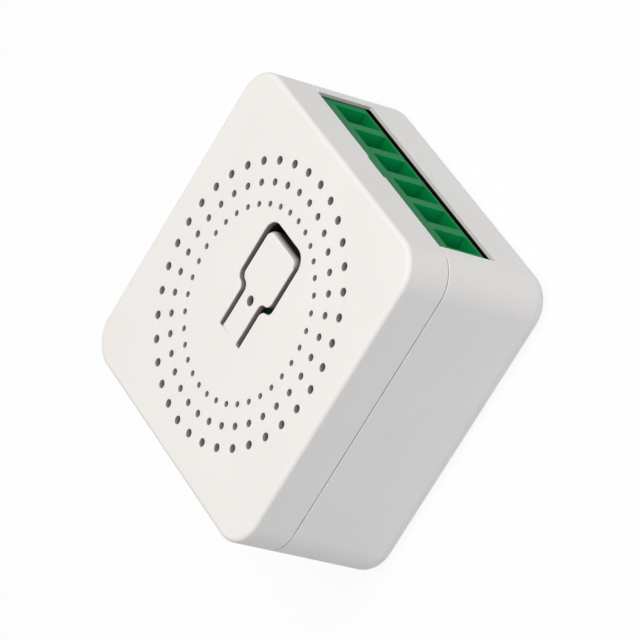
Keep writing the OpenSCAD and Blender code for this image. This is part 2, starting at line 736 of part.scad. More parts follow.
module relay_armature() color(steel) on_armature() {
    stand([yoke_t, yoke_w, card_z - hinge_z + 2 * card_r]);
    rotate([90, 0, 0]) cylinder(d = yoke_t, h = yoke_w, center = true);
}

module relay_card() color("Ivory") on_armature() translate([yoke_t / 2, 0, card_z - hinge_z]) {
    translate([card_l / 2, 0, -card_r]) stand([card_l, leaf_w, 2 * card_r]);
    translate([card_l, 0, 0]) rotate([90, 0, 0]) cylinder(r = card_r, h = leaf_w, center = true);
}

// Contact rivet on a leaf, standing out towards positive or negative X
module rivet(x) {
    translate([x, 0, contact_z]) rotate([0, 90, 0]) cylinder(r = contact_r, h = rivet_t);
}

module relay_spring() color(copper) in_relay() {
    translate([leaf_x + leaf_t / 2, 0, leaf_z]) stand([leaf_t, leaf_w, card_z + 3 * card_r - leaf_z]);
    rivet(leaf_x - rivet_t);
}

// Flat pin from the relay's base out through the board
module contact_pin(x, y) {
    in_relay() translate([x, y, -board_t - lead_out]) stand([leaf_t, pin_w, board_t + lead_out + base_t]);
    solder([relay_at.x + x, relay_at.y + y], pin_drill);
}

module relay_spring_post() color(copper) {
    in_relay() translate([post_x, 0, base_t]) stand([leaf_t, leaf_w + pin_w, contact_z - base_t - contact_r]);
    contact_pin(post_x, contact_pin_y);
}

module relay_contact() color(copper) {
    in_relay() {
        translate([fixed_x, 0, base_t]) stand([leaf_t, leaf_w + pin_w, contact_z + contact_r + leaf_t - base_t]);
        rivet(fixed_x + leaf_t / 2);
    }
    contact_pin(fixed_x, -contact_pin_y);
}

// Round lead from a height below the board out through it
module lead(p, from) {
    translate([p.x, p.y, from]) cylinder(d = lead_d, h = board_front_z + lead_out - from);
    solder(p, lead_d + 2 * lead_gap);
}

module relay_coil_pin(i) color(steel) lead(coil_leads[i - 1], board_rear_z - base_t);

module radio_board() color("Navy") translate([radio_at.x, radio_at.y, board_front_z])
    stand([radio_l, radio_w, radio_t]);

module radio_shield() color(steel)
    translate([radio_at.x, radio_at.y - (radio_w - shield_w) / 2 + part_gap, board_front_z + radio_t]) difference() {
        stand([shield_l, shield_w, shield_h]);
        translate([0, 0, -cut])
            stand([shield_l - 2 * shield_t, shield_w - 2 * shield_t, shield_h - shield_t + cut]);
    }

// Meander of the printed antenna
module radio_antenna() color(copper)
    translate([radio_at.x, radio_at.y + radio_w / 2 - part_gap, board_front_z + radio_t]) {
        for (k = [0:antenna_bends])
            translate([(k - antenna_bends / 2) * antenna_step, -antenna_d / 2, 0])
                stand([trace_w, antenna_d, trace_t]);
        for (k = [0:antenna_bends - 1]) {
            across = k % 2 == 0 ? -trace_w / 2 : trace_w / 2 - antenna_d;
            translate([(k + 0.5 - antenna_bends / 2) * antenna_step, across, 0])
                stand([antenna_step + trace_w, trace_w, trace_t]);
        }
    }

// Can capacitor with the rolled groove near its seal
module can(at, d, h) {
    groove = d / 16;
    translate([at.x, at.y, board_rear_z - h]) difference() {
        cylinder(d = d, h = h);
        translate([0, 0, h - d / 4]) rotate_extrude() translate([d / 2, 0]) circle(groove);
    }
}

module bulk_capacitor(i) color("DarkSlateBlue") {
    can(bulk_at[i - 1], bulk_d, bulk_h);
    for (p = pair(bulk_at[i - 1], bulk_pitch)) lead(p, board_rear_z - part_gap);
}

module output_capacitor() color("Indigo") {
    can(output_at, output_d, output_h);
    for (p = output_leads) lead(p, board_rear_z - part_gap);
}

// Transformer frame: origin on the pin rail, heights away from the board
module in_transformer() {
    translate([transformer_at.x, transformer_at.y, board_rear_z - rail_t]) mirror([0, 0, 1]) children();
}

module transformer_core() color("DimGray") in_transformer() {
    difference() {
        stand([core_l, core_w, core_h]);
        translate([0, 0, yoke_h]) stand([2 * coil_body_r, core_w + cut, core_h - 2 * yoke_h]);
    }
    translate([0, 0, yoke_h / 2]) cylinder(r = leg_r, h = core_h - yoke_h);
}

module transformer_bobbin() color("Black") {
    in_transformer() {
        translate([0, 0, -rail_t]) stand([core_l, rail_w, rail_t]);
        for (s = [-1, 1])
            translate([0, s * (core_w / 2 + relay_fit + flange_t / 2), -rail_t / 2])
                stand([coil_body_r, flange_t, rail_t / 2 + disc_z + flange_t / 2]);
        difference() {
            translate([0, 0, disc_z]) cylinder(r = coil_body_r - relay_fit, h = flange_t);
            cylinder(r = leg_r + relay_fit, h = core_h);
        }
    }
    for (p = transformer_leads) lead(p, board_rear_z - rail_t / 2);
}

module transformer_winding() color("Gold") in_transformer() difference() {
    translate([0, 0, disc_z + flange_t])
        cylinder(r = coil_body_r - relay_fit, h = core_h - yoke_h - disc_z - flange_t - relay_fit);
    cylinder(r = leg_r + relay_fit, h = core_h);
}

// Flat package with legs along two sides
module package(at, size, legs) {
    translate([at.x, at.y, board_rear_z]) mirror([0, 0, 1]) {
        translate([0, 0, leg_t / 2]) stand(size);
        for (k = [1:legs], s = [-1, 1])
            translate([(k - (legs + 1) / 2) * size.x / legs, s * ((size.y + leg_l) / 2 - leg_t), 0])
                stand([leg_w, leg_l, leg_t]);
    }
}

module bridge_rectifier() color("Black") package(bridge_at, [bridge_l, bridge_w, bridge_h], bridge_legs);

module supply_chip() color("Black") package(chip_at, [chip_l, chip_w, chip_h], chip_legs);

module varistor() color("RoyalBlue") {
    translate([varistor_at.x, varistor_at.y, varistor_z]) rotate([90, 0, 0])
        cylinder(d = varistor_d, h = varistor_t, center = true);
    for (p = varistor_leads) lead(p, varistor_z);
}

module fuse_resistor() color("SeaGreen") {
    translate([fuse_at.x - fuse_l / 2, fuse_at.y, fuse_z]) rotate([0, 90, 0]) cylinder(d = fuse_d, h = fuse_l);
    translate([fuse_leads[0].x, fuse_at.y, fuse_z]) rotate([0, 90, 0])
        cylinder(d = lead_d, h = fuse_leads[1].x - fuse_leads[0].x);
    for (p = fuse_leads) {
        translate([p.x, p.y, fuse_z]) sphere(d = lead_d);
        lead(p, fuse_z);
    }
}

front_cover();
button_tongue();
rear_shell();
main_board();
terminal_block();
for (i = [1:poles]) terminal_bar(i);
for (i = [1:poles]) terminal_screw(i);
for (i = [1:poles]) clamp_cage(i);
switch_body();
switch_frame();
switch_plunger();
status_light();
relay_case();
relay_base();
relay_bobbin();
relay_winding();
relay_core();
relay_armature();
relay_card();
relay_spring();
relay_spring_post();
relay_contact();
relay_coil_pin(1);  // relay_coil_pin_1
relay_coil_pin(2);  // relay_coil_pin_2
radio_board();
radio_shield();
radio_antenna();
bulk_capacitor(1);  // bulk_capacitor_1
bulk_capacitor(2);  // bulk_capacitor_2
output_capacitor();
transformer_core();
transformer_bobbin();
transformer_winding();
bridge_rectifier();
supply_chip();
varistor();
fuse_resistor();
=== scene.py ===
import json
import math

import bmesh
import bpy
from mathutils import Euler, Matrix, Vector

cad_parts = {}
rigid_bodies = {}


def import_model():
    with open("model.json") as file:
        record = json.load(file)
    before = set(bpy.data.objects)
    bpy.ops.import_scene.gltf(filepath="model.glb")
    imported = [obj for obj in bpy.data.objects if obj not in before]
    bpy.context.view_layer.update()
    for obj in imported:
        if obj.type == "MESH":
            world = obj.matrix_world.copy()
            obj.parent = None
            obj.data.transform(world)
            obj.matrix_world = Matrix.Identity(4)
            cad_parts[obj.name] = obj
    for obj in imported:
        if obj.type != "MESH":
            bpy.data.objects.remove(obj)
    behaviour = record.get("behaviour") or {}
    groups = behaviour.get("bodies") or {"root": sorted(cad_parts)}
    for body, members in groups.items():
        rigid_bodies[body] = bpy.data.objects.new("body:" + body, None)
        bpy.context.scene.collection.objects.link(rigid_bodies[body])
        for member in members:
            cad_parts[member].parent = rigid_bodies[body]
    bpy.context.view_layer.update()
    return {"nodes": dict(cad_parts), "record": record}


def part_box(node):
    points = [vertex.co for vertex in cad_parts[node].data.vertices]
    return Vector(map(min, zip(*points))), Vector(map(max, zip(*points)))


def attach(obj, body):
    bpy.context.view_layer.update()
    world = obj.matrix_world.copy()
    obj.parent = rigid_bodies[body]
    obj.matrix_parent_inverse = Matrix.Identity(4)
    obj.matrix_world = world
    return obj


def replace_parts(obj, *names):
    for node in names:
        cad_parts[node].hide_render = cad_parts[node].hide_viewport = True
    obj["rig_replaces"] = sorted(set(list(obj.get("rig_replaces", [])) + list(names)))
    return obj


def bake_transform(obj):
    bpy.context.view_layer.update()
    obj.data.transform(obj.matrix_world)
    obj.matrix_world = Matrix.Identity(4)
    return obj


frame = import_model()
scene = bpy.context.scene
mm = 0.001     # pieces are drawn in millimetres and brought to metres when they are done
overlap = 0.5  # how far a cutter reaches past the faces that it cuts
print("frame loaded:", len(frame["nodes"]), "nodes")

wallFinish = 1    # second finish of a piece, on the walls of its holes and slots; it carries painted shade, and a painted lighter green in the wire entries
insideFinish = 2  # third finish of the rear shell, painted shade: near black on faces that only the gap beside the terminals shows
sillShadeFinish = 2    # third finish of the terminal block, painted shade on the low side of its wire entries
lipShadeFinish = 3     # fourth finish of the rear shell, painted shade on the lip round the terminal window


# outlines and loops

def arcPoints(x, y, r, start, end, steps):
    turns = [math.radians(start + (end - start) * k / steps) for k in range(steps + 1)]
    return [(x + r * math.cos(a), y + r * math.sin(a)) for a in turns]


def circlePoints(x, y, r, count):
    return arcPoints(x, y, r, 0, 360, count)[:-1]


def rectOutline(width, height, bend, steps):
    # rectangle with round corners, counter-clockwise
    atX, atY = width / 2 - bend, height / 2 - bend
    points = []
    for k, (sx, sy) in enumerate(((1, 1), (-1, 1), (-1, -1), (1, -1))):
        points += arcPoints(sx * atX, sy * atY, bend, 90 * k, 90 * k + 90, steps)
    return points


def quarterRound(steps):
    # shares of a rim's radius on the way from the face to the wall: (sideways, downwards)
    turns = [math.pi / 2 * k / steps for k in range(steps + 1)]
    return [(1 - math.sin(a), 1 - math.cos(a)) for a in turns]


def addLoop(bm, points, z):
    return [bm.verts.new((p[0], p[1], z)) for p in points]


def bridge(bm, a, b, finish=0):
    # ring of faces between two loops
    n = len(a)
    faces = [bm.faces.new((a[k], a[(k + 1) % n], b[(k + 1) % n], b[k])) for k in range(n)]
    for face in faces:
        face.material_index = finish
    return faces


def bridgeAll(bm, loops):
    for a, b in zip(loops, loops[1:]):
        bridge(bm, a, b)


def fillFlat(bm, loops):
    # flat skin between an outer loop and the loops of its holes
    edges = []
    for loop in loops:
        for k in range(len(loop)):
            pair = (loop[k], loop[(k + 1) % len(loop)])
            edges.append(bm.edges.get(pair) or bm.edges.new(pair))
    bmesh.ops.triangle_fill(bm, use_beauty=True, use_dissolve=False, edges=edges, normal=(0, 0, 1))


def addBore(bm, x, y, r, count, top, low, soft, steps=4):
    # round hole with a softened rim at the height "top"; gives its rim loop and its far loop
    away = -1 if top > low else 1
    loops = []
    for side, down in quarterRound(steps):
        loops.append(addLoop(bm, circlePoints(x, y, r + soft * side, count), top + away * soft * down))
    loops.append(addLoop(bm, circlePoints(x, y, r, count), low))
    bridgeAll(bm, loops[:-1])
    bridge(bm, loops[-2], loops[-1], wallFinish)
    return loops[0], loops[-1]


def addPeg(bm, x, y, r, count, root, tip, soft):
    # round peg with a softened end; gives the loop at its root
    away = 1 if tip > root else -1
    loops = [addLoop(bm, circlePoints(x, y, r, count), root)]
    loops.append(addLoop(bm, circlePoints(x, y, r, count), tip - away * soft))
    loops.append(addLoop(bm, circlePoints(x, y, r - soft, count), tip))
    bridgeAll(bm, loops)
    bm.faces.new(loops[-1])
    return loops[0]


def addBox(bm, low, high):
    xs, ys, zs = zip(low, high)
    v = [bm.verts.new((x, y, z)) for z in zs for y in ys for x in xs]
    for f in ((0, 1, 3, 2), (4, 5, 7, 6), (0, 1, 5, 4), (2, 3, 7, 6), (0, 2, 6, 4), (1, 3, 7, 5)):
        bm.faces.new([v[k] for k in f])


def addRod(bm, start, end, r, count):
    # closed rod between two points
    start, end = Vector(start), Vector(end)
    axis = end - start
    turn = axis.to_track_quat("Z", "Y").to_matrix().to_4x4()
    place = Matrix.Translation((start + end) / 2) @ turn
    bmesh.ops.create_cone(bm, cap_ends=True, segments=count, radius1=r, radius2=r,
                          depth=axis.length, matrix=place)


def addFlaredCutter(bm, x, z, size, corner, cornerSteps, soft, deepY, faceY, rimSteps=4):
    # cutter along Y that flares where it leaves the face, so the rim of its hole comes out rounded
    growth = [(deepY, 0.0)]
    growth += [(faceY + soft * side, soft * down) for side, down in quarterRound(rimSteps)]
    growth.append((faceY - overlap, soft))
    loops = []
    for y, grow in growth:
        outline = rectOutline(size[0] + 2 * grow, size[1] + 2 * grow, corner + grow, cornerSteps)
        loops.append([bm.verts.new((x + p[0], y, z + p[1])) for p in outline])
    bridgeAll(bm, loops)
    bm.faces.new(loops[0])
    bm.faces.new(loops[-1])


def shiftOutline(points, amounts, openAt, sharpest=0.2):
    # moves each point of a clockwise outline outwards; openAt is the count of points of the shaped part,
    # whose first and last points only move sideways
    n = len(points)
    moved = []
    for k, p in enumerate(points):
        before = Vector(p) - Vector(points[k - 1])
        after = Vector(points[(k + 1) % n]) - Vector(p)
        if k == 0:
            before = after
        if k == openAt - 1:
            after = before
        a = Vector((-before.y, before.x)).normalized()
        b = Vector((-after.y, after.x)).normalized()
        out = (a + b) / max(1 + a.dot(b), sharpest)
        moved.append((p[0] + out.x * amounts[k], p[1] + out.y * amounts[k]))
    return moved


def ease(share):
    share = min(1, max(0, share))
    return share * share * (3 - 2 * share)


def dropRepeats(points, apart=1e-4):
    kept = []
    for p in points:
        if not kept or math.dist(p, kept[-1]) > apart:
            kept.append(p)
    return kept


# objects

def newObject(name, bm, finishes=1, finish=None, weld=1e-5):
    if finish is not None:
        for face in bm.faces:
            face.material_index = finish
    bmesh.ops.remove_doubles(bm, verts=bm.verts, dist=weld)
    bmesh.ops.recalc_face_normals(bm, faces=bm.faces)
    mesh = bpy.data.meshes.new(name)
    bm.to_mesh(mesh)
    bm.free()
    for k in range(finishes):
        mesh.materials.append(None)
    obj = bpy.data.objects.new(name, mesh)
    scene.collection.objects.link(obj)
    return obj


def carve(obj, tool, operation="DIFFERENCE"):
    step = obj.modifiers.new("carve", "BOOLEAN")
    step.operation = operation
    step.solver = "EXACT"
    step.object = tool
    bpy.context.view_layer.update()
    done = bpy.data.meshes.new_from_object(obj.evaluated_get(bpy.context.evaluated_depsgraph_get()))
    obj.modifiers.clear()
    old, toolMesh = obj.data, tool.data
    obj.data = done
    bpy.data.objects.remove(tool)
    bpy.data.meshes.remove(toolMesh)
    bpy.data.meshes.remove(old)
    obj.data.name = obj.name


def settle(obj, sharpAngle=38):
    # brings the piece to metres and gives it clean shading
    obj.data.transform(Matrix.Scale(mm, 4))
    obj.data.shade_smooth()
    obj.data.set_sharp_from_angle(angle=math.radians(sharpAngle))
    shading = obj.modifiers.new("even shading", "WEIGHTED_NORMAL")
    shading.keep_sharp = True
    shading.weight = 100


def dress(obj, *finishes):
    slots = obj.data.materials
    while len(slots) < len(finishes):
        slots.append(None)
    for k, finish in enumerate(finishes):
        slots[k] = finish


# materials

noiseLow, noiseHigh = 0.3, 0.7  # most of a noise lies between these
grainDetail = 4.0


def newMaterial(name):
    mat = bpy.data.materials.new(name)
    mat.use_nodes = True
    tree = mat.node_tree
    place = tree.nodes.new("ShaderNodeTexCoord").outputs["Object"]
    return mat, tree, tree.nodes["Principled BSDF"], place


def noise(tree, place, scale, detail=3.0, rough=0.55):
    tex = tree.nodes.new("ShaderNodeTexNoise")
    tex.inputs["Scale"].default_value = scale
    tex.inputs["Detail"].default_value = detail
    tex.inputs["Roughness"].default_value = rough
    tree.links.new(place, tex.inputs["Vector"])
    return tex.outputs["Fac"]


def ramp(tree, value, *stops):
    node = tree.nodes.new("ShaderNodeValToRGB")
    marks = node.color_ramp.elements
    while len(marks) < len(stops):
        marks.new(0.5)
    for mark, (at, colour) in zip(marks, stops):
        mark.position = at
        mark.color = (*colour, 1)
    tree.links.new(value, node.inputs["Fac"])
    return node.outputs["Color"]


def spread(tree, value, low, high):
    node = tree.nodes.new("ShaderNodeMapRange")
    node.inputs["From Min"].default_value = noiseLow
    node.inputs["From Max"].default_value = noiseHigh
    node.inputs["To Min"].default_value = low
    node.inputs["To Max"].default_value = high
    tree.links.new(value, node.inputs["Value"])
    return node.outputs["Result"]


def bump(tree, shader, height, strength, depth):
    node = tree.nodes.new("ShaderNodeBump")
    node.inputs["Strength"].default_value = strength
    node.inputs["Distance"].default_value = depth
    tree.links.new(height, node.inputs["Height"])
    tree.links.new(node.outputs["Normal"], shader.inputs["Normal"])


def heightOf(tree, place):
    split = tree.nodes.new("ShaderNodeSeparateXYZ")
    tree.links.new(place, split.inputs["Vector"])
    return split.outputs["Z"]


def tinted(colour, share):
    return tuple(min(1, c * share) for c in colour)


plastic = dict(driftDetail=2.0, ior=1.48)


def mouldedPlastic(name, look):
    # matt moulding: slow drift of tone, fine spark-eroded grain
    mat, tree, shader, place = newMaterial(name)
    drift = noise(tree, place, look["driftScale"], plastic["driftDetail"])
    dark, light = [tinted(look["colour"], 1 + s * look["drift"]) for s in (-1, 1)]
    tone = ramp(tree, drift, (noiseLow, dark), (noiseHigh, light))
    grain = noise(tree, place, look["grainScale"], grainDetail)
    tree.links.new(tone, shader.inputs["Base Color"])
    tree.links.new(spread(tree, grain, *look["rough"]), shader.inputs["Roughness"])
    bump(tree, shader, grain, look["grain"], look["grainDepth"])
    shader.inputs["IOR"].default_value = plastic["ior"]
    shader.inputs["Specular IOR Level"].default_value = look["gloss"]
    return mat


metal = dict(lineRough=0.65, dark=0.88, light=1.06, lineDepth=0.00001)


def sheetMetal(name, look):
    # rolled or plated metal: fine lines along one axis and a cloudy tone
    mat, tree, shader, place = newMaterial(name)
    stretch = tree.nodes.new("ShaderNodeMapping")
    stretch.inputs["Scale"].default_value = look["lines"]
    tree.links.new(place, stretch.inputs["Vector"])
    lines = noise(tree, stretch.outputs["Vector"], look["lineScale"], grainDetail, metal["lineRough"])
    clouds = noise(tree, place, look["cloudScale"])
    dark, light = tinted(look["colour"], metal["dark"]), tinted(look["colour"], metal["light"])
    tone = ramp(tree, clouds, (noiseLow, dark), (noiseHigh, light))
    tree.links.new(tone, shader.inputs["Base Color"])
    tree.links.new(spread(tree, lines, *look["rough"]), shader.inputs["Roughness"])
    bump(tree, shader, lines, look["grain"], metal["lineDepth"])
    shader.inputs["Metallic"].default_value = 1.0
    return mat


laminate = dict(trackGap=0.06, dark=0.9, light=1.7, weaveWarp=1.5, weaveDepth=0.00001, hazeScale=900.0)


def printedBoard(name, look):
    # lacquered board: tracks under the lacquer and the weave of the glass cloth
    mat, tree, shader, place = newMaterial(name)
    tracks = tree.nodes.new("ShaderNodeTexBrick")
    tracks.inputs["Scale"].default_value = look["trackScale"]
    tracks.inputs["Mortar Size"].default_value = laminate["trackGap"]
    tracks.inputs["Color1"].default_value = (*tinted(look["colour"], laminate["dark"]), 1)
    tracks.inputs["Color2"].default_value = (*look["colour"], 1)
    tracks.inputs["Mortar"].default_value = (*tinted(look["colour"], laminate["light"]), 1)
    tree.links.new(place, tracks.inputs["Vector"])
    weave = tree.nodes.new("ShaderNodeTexWave")
    weave.inputs["Scale"].default_value = look["weaveScale"]
    weave.inputs["Distortion"].default_value = laminate["weaveWarp"]
    tree.links.new(place, weave.inputs["Vector"])
    tree.links.new(tracks.outputs["Color"], shader.inputs["Base Color"])
    haze = noise(tree, place, laminate["hazeScale"])
    tree.links.new(spread(tree, haze, *look["rough"]), shader.inputs["Roughness"])
    bump(tree, shader, weave.outputs["Fac"], look["grain"], laminate["weaveDepth"])
    return mat


winding = dict(warp=0.4, gapAt=0.1, gapTone=0.35, wireAt=0.7, turnDepth=0.00004, hazeScale=1500.0)


def woundWire(name, look):
    # turns of wire or tape lying side by side
    mat, tree, shader, place = newMaterial(name)
    turns = tree.nodes.new("ShaderNodeTexWave")
    turns.bands_direction = look["along"]
    turns.inputs["Scale"].default_value = look["turnScale"]
    turns.inputs["Distortion"].default_value = winding["warp"]
    tree.links.new(place, turns.inputs["Vector"])
    gap = tinted(look["colour"], winding["gapTone"])
    tone = ramp(tree, turns.outputs["Fac"], (winding["gapAt"], gap), (winding["wireAt"], look["colour"]))
    tree.links.new(tone, shader.inputs["Base Color"])
    haze = noise(tree, place, winding["hazeScale"])
    tree.links.new(spread(tree, haze, *look["rough"]), shader.inputs["Roughness"])
    bump(tree, shader, turns.outputs["Fac"], look["grain"], winding["turnDepth"])
    shader.inputs["Metallic"].default_value = look["metal"]
    return mat


coating = dict(speckAt=0.05, groundAt=0.45, speckDepth=0.00002, hazeScale=700.0)


def speckled(name, look):
    # dipped coating, sintered ferrite or sleeve: specks on a ground of uneven gloss
    mat, tree, shader, place = newMaterial(name)
    specks = tree.nodes.new("ShaderNodeTexVoronoi")
    specks.inputs["Scale"].default_value = look["speckScale"]
    tree.links.new(place, specks.inputs["Vector"])
    speck = tinted(look["colour"], look["speck"])
    away = specks.outputs["Distance"]
    tone = ramp(tree, away, (coating["speckAt"], speck), (coating["groundAt"], look["colour"]))
    tree.links.new(tone, shader.inputs["Base Color"])
    haze = noise(tree, place, coating["hazeScale"])
    tree.links.new(spread(tree, haze, *look["rough"]), shader.inputs["Roughness"])
    bump(tree, shader, away, look["grain"], coating["speckDepth"])
    return mat


def shadedWall(name, look):
    # painted shade on the wall of a hole: lightest at its mouth, darker further in
    mat, tree, shader, place = newMaterial(name)
    depth = tree.nodes.new("ShaderNodeMapRange")
    depth.inputs["From Min"].default_value = look["mouthZ"] * mm
    depth.inputs["From Max"].default_value = look["deepZ"] * mm
    tree.links.new(heightOf(tree, place), depth.inputs["Value"])
    tree.links.new(ramp(tree, depth.outputs["Result"], *look["tones"]), shader.inputs["Base Color"])
    grain = noise(tree, place, look["grainScale"], grainDetail)
    tree.links.new(spread(tree, grain, *look["rough"]), shader.inputs["Roughness"])
    bump(tree, shader, grain, look["grain"], look["grainDepth"])
    shader.inputs["Specular IOR Level"].default_value = look["gloss"]
    return mat


housingLook = dict(colour=(0.872, 0.853, 0.842), drift=0.012, driftScale=90.0, grain=0.05,
                   grainScale=5200.0, grainDepth=0.00002, rough=(0.52, 0.62), gloss=0.2)
housingWhite = mouldedPlastic("housingWhite", housingLook)

# painted shade on the walls of the vents, the slots and the light hole
holeShadeLook = dict(mouthZ=20.78, deepZ=19.8, grain=0.08, grainScale=4200.0, grainDepth=0.00002,
                rough=(0.6, 0.75), gloss=0.1,
                tones=((0.0, (0.54, 0.52, 0.51)), (0.24, (0.40, 0.38, 0.37)),
                       (0.66, (0.20, 0.19, 0.185)), (0.84, (0.02, 0.02, 0.02))))
holeWalls = shadedWall("holeWalls", holeShadeLook)

# painted shade in the driver holes of the rear face, darker further in
driverShadeLook = dict(holeShadeLook, mouthZ=0.1, deepZ=1.5, gloss=0.15,
                  tones=((0.0, (0.80, 0.785, 0.775)), (0.35, (0.62, 0.61, 0.60)),
                         (1.0, (0.40, 0.39, 0.385))))
driverWalls = shadedWall("driverWalls", driverShadeLook)

# painted shade: near black on the faces seen through the gap beside the terminals
insideLook = dict(colour=(0.012, 0.012, 0.012), drift=0.1, driftScale=300.0, grain=0.05,
                  grainScale=4200.0, grainDepth=0.00002, rough=(0.6, 0.75), gloss=0.05)
insideShade = mouldedPlastic("insideShade", insideLook)

# painted shade: the lip round the terminal window is coloured darker than the walls
lipShadeLook = dict(housingLook, colour=(0.575, 0.563, 0.556))
windowLip = mouldedPlastic("windowLip", lipShadeLook)

blockLook = dict(colour=(0.002, 0.218, 0.063), drift=0.06, driftScale=260.0, grain=0.07,
                 grainScale=4200.0, grainDepth=0.00002, rough=(0.44, 0.56), gloss=0.09)
terminalGreen = mouldedPlastic("terminalGreen", blockLook)

# painted light and shade: the one green moulding is given a lighter, purer green inside its wire entries
# and a darker green on their low sides
entryLitLook = dict(blockLook, colour=(0.001, 0.345, 0.096), gloss=0.04)
entryGreen = mouldedPlastic("entryGreen", entryLitLook)
sillShadeLook = dict(entryLitLook, colour=(0.001, 0.195, 0.048))
sillGreen = mouldedPlastic("sillGreen", sillShadeLook)

screwLook = dict(colour=(0.58, 0.58, 0.57), lines=(1, 1, 0.06), lineScale=2600.0, cloudScale=500.0,
                 rough=(0.24, 0.42), grain=0.12)
screwSteel = sheetMetal("screwSteel", screwLook)
print("main materials made")


# front cover: shell with vent rings and the slot round the button

cover = dict(half=20.25, bend=4.2, steps=20, faceZ=20.8, underZ=19.3, seamZ=15.1, faceEdge=0.6,
             faceSteps=10, seamEdge=0.12, seamSteps=4, inner=18.85, rebate=19.55, rebateZ=16.6,
             ventRings=3, ventCount=36, ventR=11.35, ventStep=2.48, ventD=0.7, ventGrow=0.15,
             ventSoft=0.05, ventSides=22, slotSoft=0.12, softSteps=4, postR=1.1, postZ=15.9,
             postSides=28, postSoft=0.15, pryW=4.3, pryH=0.35)

tongue = dict(neck=1.75, pad=3.4, root=4.4, tip=-8.2, flare=-0.5, flareLength=1.9, corner=1.0,
              slotW=0.8, tipGap=1.0, flareShift=0.45, soft=0.12, tipSoft=0.55, tipFade=1.4,
              softSteps=6, shadeStart=2, fade=1.6, steps=12, neckSpacing=0.35, sunk=0.06, dip=0.006,
              lightR=0.6, lightY=-0.4, lightSides=28, lightSoft=0.1, pusherR=1.2, pusherY=-5.3,
              pusherZ=18.5, pusherSides=28, pusherSoft=0.2, grooveR=0.6)

snap = dict(z=15.8, out=19.27, r=0.4, gap=0.1, length=5.0, apart=8.0, sides=32)


def sideOutline(neck, pad, flare, tip, corner):
    # one side of the tongue or its slot, from the root to the tip
    t = tongue
    widen = pad - neck
    bend = (widen ** 2 + t["flareLength"] ** 2) / (4 * widen)
    turn = math.degrees(math.atan2(-t["flareLength"], widen - 2 * bend))
    straight = int((t["root"] - flare) / t["neckSpacing"])
    points = [(neck, t["root"] - k * t["neckSpacing"]) for k in range(straight)]
    points += arcPoints(neck + bend, flare, bend, 180, 360 + turn, t["steps"])
    points += arcPoints(pad - bend, flare - t["flareLength"], bend, 180 + turn, 0, t["steps"])
    points += arcPoints(pad - corner, tip + corner, corner, 0, -90, t["steps"])
    return dropRepeats(points)


def bothSides(side):
    return side + [(-x, y) for x, y in reversed(side)]


def addRings(bm, path):
    # walls of the housing along a path of (reach, height) pairs, with corners round the same centres
    rings = []
    for reach, z in path:
        bend = cover["bend"] - (cover["half"] - reach)
        rings.append(addLoop(bm, rectOutline(2 * reach, 2 * reach, bend, cover["steps"]), z))
    bridgeAll(bm, rings)
    return rings[0], rings[-1]


def addSnaps(bm, r, length):
    # rods along the +X, +Y and -X sides
    s = snap
    for x, y in ((1, 0), (0, 1), (-1, 0)):
        for side in (-1, 1):
            shift = side * s["apart"]
            middle = Vector((x * s["out"] - y * shift, y * s["out"] + x * shift, s["z"]))
            along = Vector((-y, x, 0)) * length / 2
            addRod(bm, middle - along, middle + along, r, s["sides"])


def addSlot(bm):
    # slot round the tongue, with a softened rim except across the root; gives its rim and far loops
    f, t = cover, tongue
    shaped = bothSides(sideOutline(t["neck"] + t["slotW"], t["pad"] + t["slotW"],
                                   t["flare"] + t["flareShift"], t["tip"] - t["tipGap"],
                                   t["corner"] + t["slotW"]))
    outline = shaped + [(-t["neck"], t["root"]), (t["neck"], t["root"])]
    weights = [1] * len(shaped) + [0, 0]
    loops = []
    for side, down in quarterRound(f["softSteps"]):
        moved = shiftOutline(outline, [f["slotSoft"] * side * w for w in weights], len(shaped))
        heights = [f["faceZ"] - f["slotSoft"] * down * w for w in weights]
        loops.append([bm.verts.new((x, y, z)) for (x, y), z in zip(moved, heights)])
    loops.append(addLoop(bm, outline, f["underZ"]))
    bridgeAll(bm, loops[:-1])
    bridge(bm, loops[-2], loops[-1], wallFinish)
    return loops[0], loops[-1]


def buildCover():
    f = cover
    bm = bmesh.new()
    path = [(f["inner"], f["underZ"]), (f["inner"], f["rebateZ"]),
            (f["rebate"], f["rebateZ"]), (f["rebate"], f["seamZ"])]
    path += arcPoints(f["half"] - f["seamEdge"], f["seamZ"] + f["seamEdge"], f["seamEdge"],
                      -90, 0, f["seamSteps"])
    path += arcPoints(f["half"] - f["faceEdge"], f["faceZ"] - f["faceEdge"], f["faceEdge"],
                      0, 90, f["faceSteps"])
    under, top = addRings(bm, path)
    holes = []
    for ring in range(f["ventRings"]):
        away = f["ventR"] + ring * f["ventStep"]
        r = (f["ventD"] + ring * f["ventGrow"]) / 2
        for k in range(f["ventCount"]):
            a = 2 * math.pi * k / f["ventCount"]
            holes.append(addBore(bm, away * math.cos(a), away * math.sin(a), r, f["ventSides"],
                                 f["faceZ"], f["underZ"], f["ventSoft"]))
    holes.append(addSlot(bm))
    at = f["half"] - f["bend"]
    posts = [addPeg(bm, x, y, f["postR"], f["postSides"], f["underZ"], f["postZ"], f["postSoft"])
             for x, y in ((at, at), (-at, at), (-at, -at), (at, -at))]
    fillFlat(bm, [top] + [rim for rim, far in holes])
    fillFlat(bm, [under] + [far for rim, far in holes] + posts)
    obj = newObject("coverShell", bm, 2)

    grooves = bmesh.new()
    addSnaps(grooves, snap["r"] + snap["gap"], snap["length"] + 2 * snap["gap"])
    carve(obj, newObject("snapGrooves", grooves))
    notch = bmesh.new()
    addBox(notch, (-f["pryW"] / 2, -f["half"] - overlap, f["seamZ"] - overlap),
           (f["pryW"] / 2, overlap - f["inner"], f["seamZ"] + f["pryH"]))
    carve(obj, newObject("pryNotch", notch))
    settle(obj)
    return obj


